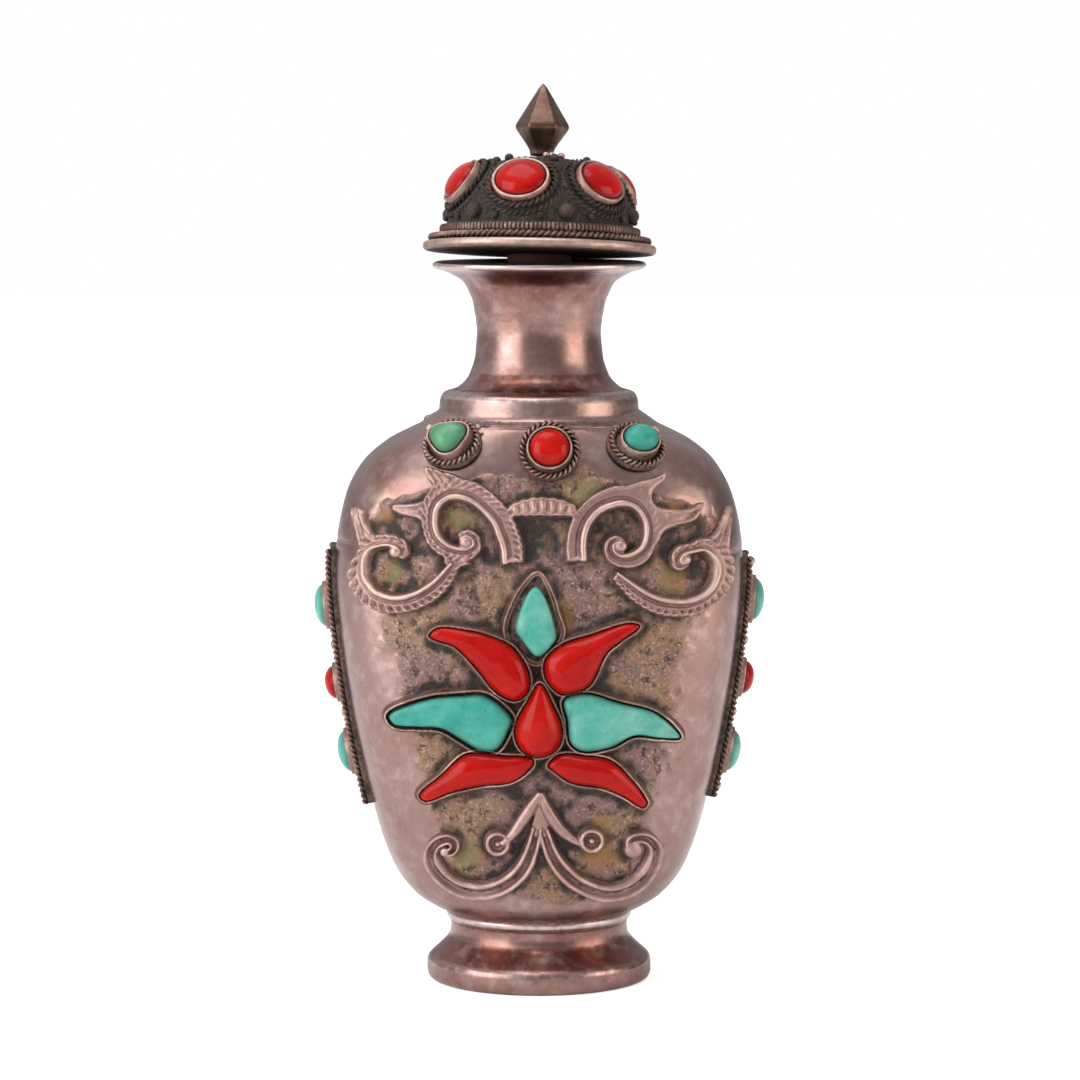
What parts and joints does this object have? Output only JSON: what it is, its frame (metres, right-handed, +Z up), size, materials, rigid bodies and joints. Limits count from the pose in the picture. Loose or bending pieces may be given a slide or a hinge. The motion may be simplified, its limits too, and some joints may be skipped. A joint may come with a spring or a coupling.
{
  "type": "snuff bottle",
  "caption": "Flattened metal flask with a round foot, flared neck and domed stopper lid, dressed with cast scrolls and set with coral and turquoise.",
  "frame": {"origin": "middle of the foot, on the surface that the bottle stands on", "axes": "+Z up through the neck and the lid, -Y out of the face with the flower of stones, +X to the right of that face"},
  "size_m": [0.045, 0.0315, 0.0896],
  "materials": {
    "metal": "worn silver and copper alloy, polished on high places, dark patina in the recesses",
    "coral": "polished red coral",
    "turquoise": "satin blue-green turquoise",
    "green_turquoise": "satin green turquoise",
    "cork": "dark matt cork"
  },
  "bodies": {
    "root": {"bottle": "metal", "front_upper_scroll": "metal", "front_lower_scroll": "metal", "back_upper_scroll": "metal", "back_lower_scroll": "metal", "front_flower_setting": "metal", "front_flower_stone_top": "turquoise", "front_flower_stone_upper_left": "coral", "front_flower_stone_upper_right": "coral", "front_flower_stone_centre": "coral", "front_flower_stone_left": "turquoise", "front_flower_stone_right": "turquoise", "front_flower_stone_lower_left": "coral", "front_flower_stone_lower_right": "coral", "front_shoulder_setting_left": "metal", "front_shoulder_setting_centre": "metal", "front_shoulder_setting_right": "metal", "front_shoulder_stone_left": "green_turquoise", "front_shoulder_stone_centre": "coral", "front_shoulder_stone_right": "turquoise", "back_shoulder_setting_left": "metal", "back_shoulder_setting_centre": "metal", "back_shoulder_setting_right": "metal", "back_shoulder_stone_left": "green_turquoise", "back_shoulder_stone_centre": "coral", "back_shoulder_stone_right": "turquoise", "back_setting": "metal", "back_stone": "coral", "side_plaque_right": "metal", "side_plaque_left": "metal", "side_stone_right_top": "turquoise", "side_stone_right_middle": "coral", "side_stone_right_bottom": "turquoise", "side_stone_left_top": "turquoise", "side_stone_left_middle": "coral", "side_stone_left_bottom": "turquoise", "lid": "metal", "lid_coral_1": "coral", "lid_coral_2": "coral", "lid_coral_3": "coral", "lid_coral_4": "coral", "lid_coral_5": "coral", "lid_coral_6": "coral", "finial": "metal", "cork": "cork"}
  },
  "joints": []
}
